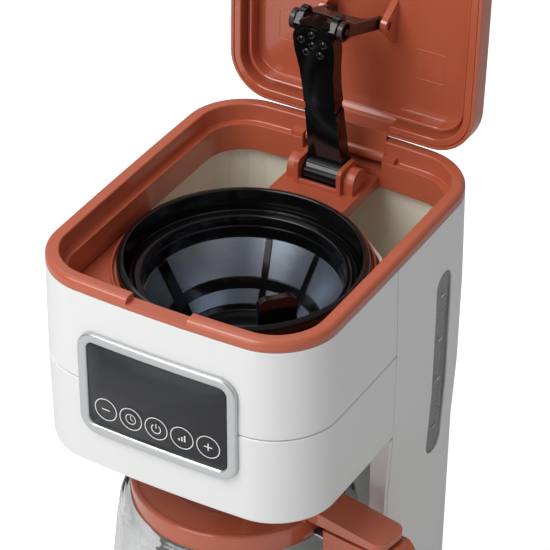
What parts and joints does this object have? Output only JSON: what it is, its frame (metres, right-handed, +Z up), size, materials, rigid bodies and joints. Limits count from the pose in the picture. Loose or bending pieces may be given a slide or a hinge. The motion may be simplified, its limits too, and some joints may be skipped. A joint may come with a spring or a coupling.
{
  "type": "drip coffee maker",
  "caption": "Drip coffee maker with an open top lid that raises a spray arm, a lift-out basket and filter, a rear water tank and a glass carafe.",
  "frame": {"origin": "under the middle of the bounding box, on the surface that the feet stand on", "axes": "+Z up, +X to the right of someone facing the control panel, +Y to the rear"},
  "size_m": [0.2228, 0.243, 0.5367],
  "materials": {
    "white_plastic": "semi-gloss",
    "terracotta_plastic": "gloss",
    "black_gloss": "gloss",
    "dark_brown": "satin",
    "tank_plastic": "satin, slightly translucent",
    "dark_lens": "gloss",
    "silver_trim": "satin",
    "steel": "satin",
    "heater_aluminium": "as cast",
    "plate_coating": "non-stick coating",
    "rubber": "matte",
    "silicone": "matte, pale",
    "board_green": "solder resist",
    "filter_weave": "fine nylon mesh",
    "clear_glass": "clear"
  },
  "bodies": {
    "housing": {"foot_front_left": "rubber", "foot_front_right": "rubber", "foot_rear_left": "rubber", "foot_rear_right": "rubber", "bottom_cover": "white_plastic", "base_shell": "white_plastic", "warming_plate": "plate_coating", "plate_seal_ring": "rubber", "heating_element": "heater_aluminium", "heater_bracket": "steel", "thermostat": "black_gloss", "thermal_fuse": "heater_aluminium", "column_front_cover": "white_plastic", "rear_shell": "white_plastic", "level_window": "dark_lens", "cord_gland": "rubber", "head_upper_shell": "white_plastic", "head_lower_shell": "white_plastic", "panel_frame": "silver_trim", "display_lens": "dark_lens", "control_board": "board_green", "display_module": "black_gloss", "top_rim": "terracotta_plastic", "lid_hinge_pin": "steel", "brew_chamber": "terracotta_plastic", "arm_pivot_pin": "steel", "water_tank": "tank_plastic", "check_valve": "silicone", "inlet_hose": "silicone", "riser_hose": "silicone"},
    "lid": {"lid_cover": "terracotta_plastic", "lid_inner_panel": "terracotta_plastic", "lid_link_pin_left": "steel", "lid_link_pin_right": "steel"},
    "arm": {"spray_arm": "black_gloss", "spray_arm_cover": "black_gloss", "arm_link_pin": "steel"},
    "link": {"lid_link": "dark_brown"},
    "basket": {"brew_basket": "black_gloss", "drip_valve_spring": "steel"},
    "drip_valve": {"drip_valve_stem": "silicone", "drip_valve_seal": "rubber"},
    "filter": {"filter_frame": "black_gloss", "filter_mesh": "filter_weave"},
    "carafe": {"carafe_glass": "clear_glass", "carafe_band": "steel", "carafe_handle": "terracotta_plastic", "carafe_lid_pin": "steel"},
    "carafe_cover": {"carafe_lid": "terracotta_plastic"}
  },
  "joints": [
    {"name": "lid_hinge", "type": "hinge", "parent": "housing", "child": "lid", "pos_m": [-0.02049, 0.09305, 0.335], "axis": [-1, 0, 0], "range_deg": [-92, 0]},
    {"name": "arm_swing", "type": "hinge", "parent": "housing", "child": "arm", "pos_m": [-0.02049, 0.06855, 0.3295], "axis": [-1, 0, 0], "range_deg": [-79.5, 0]},
    {"name": "link_swing", "type": "hinge", "parent": "lid", "child": "link", "pos_m": [-0.02049, 0.10044, 0.41769], "axis": [-1, 0, 0], "range_deg": [0, 70.6]},
    {"name": "basket_lift", "type": "slide", "parent": "housing", "child": "basket", "axis": [0, 0, 1], "range_m": [0, 0.11]},
    {"name": "drip_valve_lift", "type": "slide", "parent": "basket", "child": "drip_valve", "axis": [0, 0, 1], "range_m": [0, 0.004], "stiffness_N_per_m": 150, "springref_m": -0.002, "deforming": ["drip_valve_spring"]},
    {"name": "filter_lift", "type": "slide", "parent": "basket", "child": "filter", "axis": [0, 0, 1], "range_m": [0, 0.08]},
    {"name": "carafe_pull", "type": "slide", "parent": "housing", "child": "carafe", "axis": [0, -1, 0], "range_m": [0, 0.19]},
    {"name": "carafe_lid_hinge", "type": "hinge", "parent": "carafe", "child": "carafe_cover", "pos_m": [0.08696, -0.05503, 0.1805], "axis": [0.1925, 0.9813, 0], "range_deg": [0, 10]}
  ],
  "couplings": [
    {"joint": "arm_swing", "follows": "lid_hinge", "ratio": 0.86413},
    {"joint": "link_swing", "follows": "lid_hinge", "ratio": -0.7674}
  ]
}
